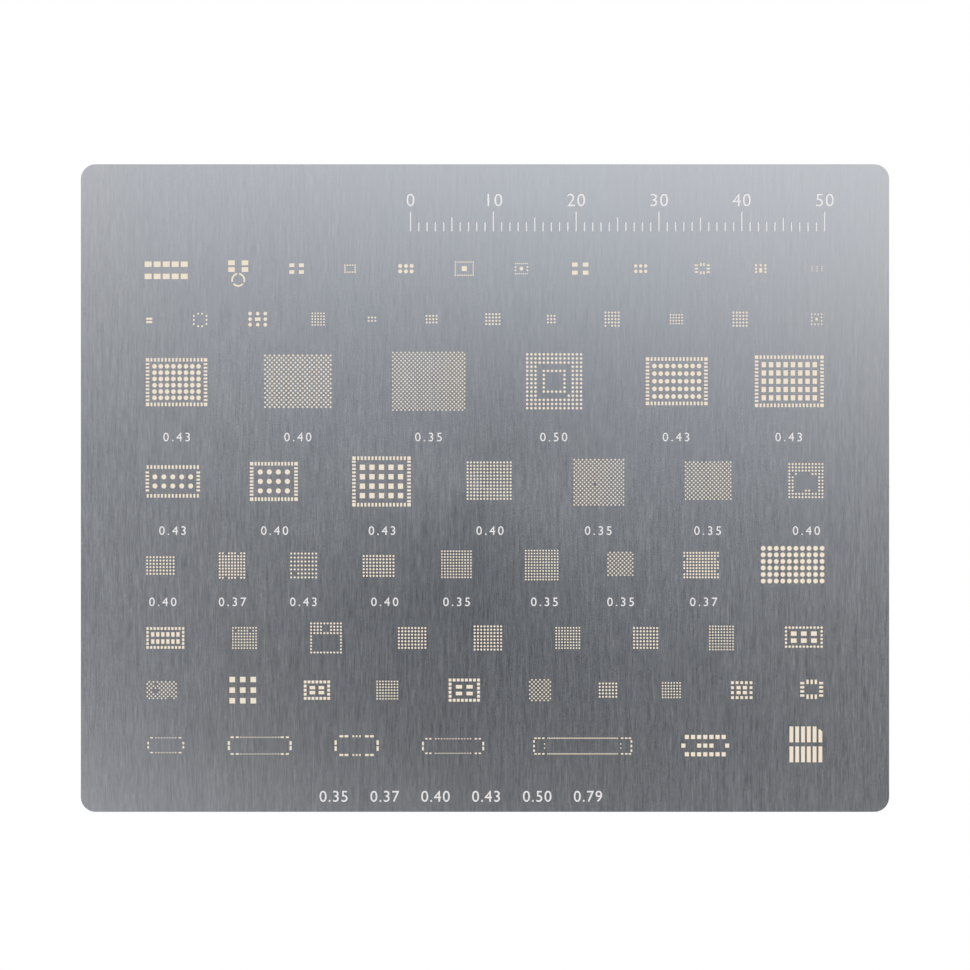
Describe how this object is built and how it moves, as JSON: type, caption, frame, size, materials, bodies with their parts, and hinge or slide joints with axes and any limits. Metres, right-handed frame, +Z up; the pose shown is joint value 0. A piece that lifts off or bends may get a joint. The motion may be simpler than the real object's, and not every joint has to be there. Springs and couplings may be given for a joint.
{
  "type": "solder paste stencil",
  "caption": "Thin flat rectangular steel sheet with rounded corners and many groups of fine round and rectangular apertures, for printing solder paste on chip pads.",
  "frame": {"origin": "middle of the sheet's rectangle, on the plane of its underside", "axes": "+X along the long side, to the right as the printed side is read; +Y along the short side, to the top row of apertures; +Z up, out of the printed side"},
  "size_m": [0.0976, 0.0782, 0.0001],
  "materials": {
    "sheet_steel": "fine brushed"
  },
  "bodies": {
    "root": {"stencil_sheet": "sheet_steel"}
  },
  "joints": []
}
